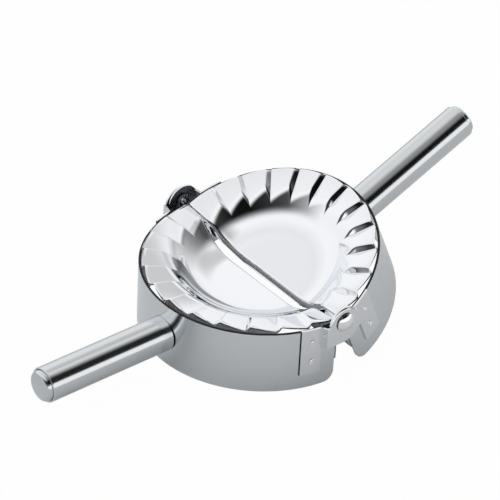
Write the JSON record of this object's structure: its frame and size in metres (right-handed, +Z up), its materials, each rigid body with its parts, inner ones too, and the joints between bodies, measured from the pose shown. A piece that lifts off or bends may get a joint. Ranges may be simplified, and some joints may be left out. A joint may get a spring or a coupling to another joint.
{
  "type": "empanada press",
  "caption": "Hinged steel press for filled dough pockets: two half bowls with toothed crimping rims, cutting skirts below and a tubular handle on each side.",
  "frame": {"origin": "middle of the ring on the plane of the level half's cutting edge", "axes": "+X along the handles towards the folded-up half, +Y along the hinge line, +Z up"},
  "size_m": [0.2161, 0.109, 0.0623],
  "materials": {
    "polished": "mirror-polished pressed sheet",
    "satin": "satin-brushed sheet",
    "tube": "fine-polished drawn tube",
    "fastener": "bright formed steel"
  },
  "bodies": {
    "base_half": {"left_skirt": "satin", "left_pan": "polished", "left_near_leaf": "satin", "left_far_leaf": "satin", "left_handle_tube": "tube", "left_end_cap": "satin", "left_handle_plug": "satin", "left_handle_screw": "fastener", "left_spring_washer": "fastener", "near_rivet": "fastener", "far_rivet": "fastener"},
    "folding_half": {"right_skirt": "satin", "right_pan": "polished", "right_near_leaf": "satin", "right_far_leaf": "satin", "right_handle_tube": "tube", "right_end_cap": "satin", "right_handle_plug": "satin", "right_handle_screw": "fastener", "right_spring_washer": "fastener"}
  },
  "joints": [
    {"name": "hinge_fold", "type": "hinge", "parent": "base_half", "child": "folding_half", "pos_m": [0, 0, 0.0294], "axis": [0, -1, 0], "range_deg": [-22.9, 157.1]}
  ]
}
